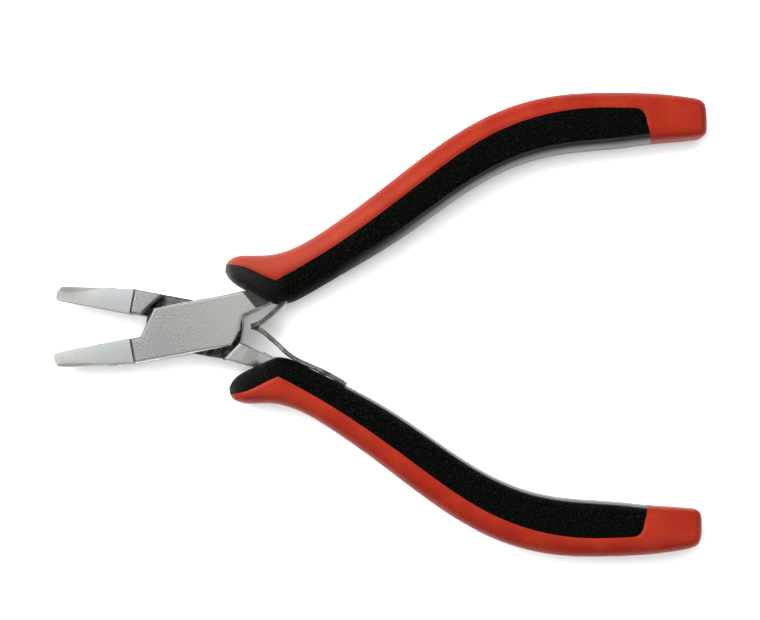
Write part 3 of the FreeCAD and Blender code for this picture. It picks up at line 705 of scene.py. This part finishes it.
def nylon_jaw(side, material):
    """Nylon jaw cover: tapers both ways to a rounded tip, with its outer edge worn down near it and painted
    shade on that bevel's flank.
    """
    body, _, jaw = ARMS[side]
    long = JAW_TIP_X[side] - JAW_ROOT_X
    nose = JAW_NOSE_LONG * (1 - np.sin(np.linspace(0, math.pi / 2, JAW_NOSE_ROWS)[1:]))
    depth = np.concatenate([np.linspace(0, long - JAW_NOSE_LONG, JAW_ROWS), long - nose])
    rings, bevel = [], JAW_BEVEL[side]
    for along in depth:
        share, left = along / long, long - along
        width = JAW_WIDE[0] + (JAW_WIDE[1] - JAW_WIDE[0]) * share
        half = (JAW_THICK[0] + (JAW_THICK[1] - JAW_THICK[0]) * share) / 2 - quarter(left, 0.5) * 0.8
        worn = min(max((along - long + BEVEL_LONG) / BEVEL_LONG, 0), 1)
        inner = -0.05 - quarter(left, JAW_NOSE_IN[side]) * 0.95
        outer = -width + quarter(left, JAW_NOSE_OUT[side]) * 0.95
        rings.append(jaw_section(-JAW_ROOT_X - along, inner, outer, half,
                                 0.1 + BEVEL_WIDE * bevel * worn ** 0.7 * (1 - worn ** 6 * 0.8),
                                 0.3 + BEVEL_DEEP * bevel * worn))
    piece = make_mesh(f"{jaw}_nylon_jaw_skin", *tube(rings))
    # painted shade on the bevel flank towards the tip, strong on the upper jaw
    painted_flank_shade = []
    for ring in rings:
        darkness = JAW_FLANK_SHADE[side] * min(max((-ring[0][0] - FLANK_SHADE_FROM) / FLANK_SHADE_FADE, 0), 1)
        painted_flank_shade += [darkness if place in JAW_FLANK else 0.0 for place in range(len(ring))]
    attribute = piece.data.attributes.new("painted_flank_shade", "FLOAT", "POINT")
    attribute.data.foreach_set("value", painted_flank_shade)
    set_down(piece, side, material, 14)
    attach(piece, body)
    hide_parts(f"{jaw}_nylon_jaw")


# ---------------------------------------------------------------- CAD nodes and stage

def dress_cad(materials):
    """Give the CAD nodes that stay in sight their materials."""
    for node, material in materials.items():
        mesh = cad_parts[node].data
        mesh.materials.clear()
        mesh.materials.append(material)


def floor_material():
    """Very white sheet, on which only the deepest shadows show."""
    n = Nodes("pale_floor")
    grain = n.noise(4.0, 2.0)
    n.set(Base_Color=n.mix(n.ramp(grain, 0.3, 0.7), (0.93, 0.93, 0.93, 1), (0.95, 0.95, 0.95, 1)),
          Roughness=0.9, Specular_IOR_Level=0.0)
    return n.material


def build_floor():
    """Flat white sheet, which throws no light back onto dull surfaces."""
    floor = bpy.data.objects.new("floor", bpy.data.meshes.new("floor"))
    reach = SHEET_REACH
    corners = [(-reach, -reach, FLOOR_Z), (reach, -reach, FLOOR_Z),
               (reach, reach, FLOOR_Z), (-reach, reach, FLOOR_Z)]
    floor.data.from_pydata(corners, [], [(0, 1, 2, 3)])
    floor.data.materials.append(floor_material())
    bpy.context.scene.collection.objects.link(floor)
    floor.visible_diffuse = False
    return floor


def build_world():
    """Studio glow, bright from the near side, weaker from the far side and dim overhead."""
    world = bpy.data.worlds.new("studio")
    bpy.context.scene.world = world
    world.use_nodes = True
    tree = world.node_tree
    split = tree.nodes.new("ShaderNodeSeparateXYZ")
    tree.links.new(tree.nodes.new("ShaderNodeTexCoord").outputs["Generated"], split.inputs[0])
    glow = split.outputs["Y"]
    for low, high, start, end in ((-0.5, 0.35, NEAR_GLOW, FAR_GLOW), (0.55, 0.92, None, OVERHEAD_GLOW)):
        step = tree.nodes.new("ShaderNodeMapRange")
        step.interpolation_type = "SMOOTHSTEP"
        step.inputs["From Min"].default_value, step.inputs["From Max"].default_value = low, high
        step.inputs["To Max"].default_value = end
        if start is None:
            tree.links.new(glow, step.inputs["To Min"])
            tree.links.new(split.outputs["Z"], step.inputs["Value"])
        else:
            step.inputs["To Min"].default_value = start
            tree.links.new(glow, step.inputs["Value"])
        glow = step.outputs["Result"]
    tree.links.new(glow, tree.nodes["Background"].inputs["Strength"])


def build_lights(floor):
    """Soft key light from the upper left, a fill, and a light for the sheet alone."""
    sheet = bpy.data.collections.new("sheet")
    sheet.objects.link(floor)
    for name, place, width, watts, onto in LIGHTS:
        light = bpy.data.lights.new(name, "AREA")
        light.shape = "SQUARE"
        light.size = width
        light.energy = watts
        lamp = bpy.data.objects.new(name, light)
        lamp.location = place
        if onto == "sheet":
            lamp.light_linking.receiver_collection = sheet
        lamp.rotation_euler = (VIEW_MIDDLE - Vector(place)).to_track_quat("-Z", "Y").to_euler()
        bpy.context.scene.collection.objects.link(lamp)


def build_camera():
    """Camera straight above, set a little to the near side and shifted back to frame the pliers."""
    camera_data = bpy.data.cameras.new("camera")
    camera_data.sensor_width = SENSOR_WIDTH
    camera_data.lens = SENSOR_WIDTH * CAMERA_HEIGHT / VIEW_WIDTH
    camera = bpy.data.objects.new("camera", camera_data)
    camera.location = (VIEW_MIDDLE.x, VIEW_MIDDLE.y - CAMERA_ASIDE, MID_Z + CAMERA_HEIGHT)
    camera_data.shift_y = CAMERA_ASIDE / VIEW_WIDTH
    bpy.context.scene.collection.objects.link(camera)
    bpy.context.scene.camera = camera
    bpy.context.scene.view_settings.view_transform = "Standard"


steel, spring = steel_material(), spring_material()
nylon = nylon_material()
screw, rivet = fastener_material("fastener_steel", 0.16), fastener_material("rivet_steel", 0.5)
dress_cad({"outer_half": steel, "inner_half": steel, "joint_rivet": steel,
           "lower_jaw_screw": screw, "upper_jaw_screw": screw,
           "upper_spring_rivet": rivet, "lower_spring_rivet": rivet})
build_grips(red_material(), black_material())
for side in ARMS:
    leaf_spring(side, spring)
    nylon_jaw(side, nylon)
build_lights(build_floor())
build_world()
build_camera()
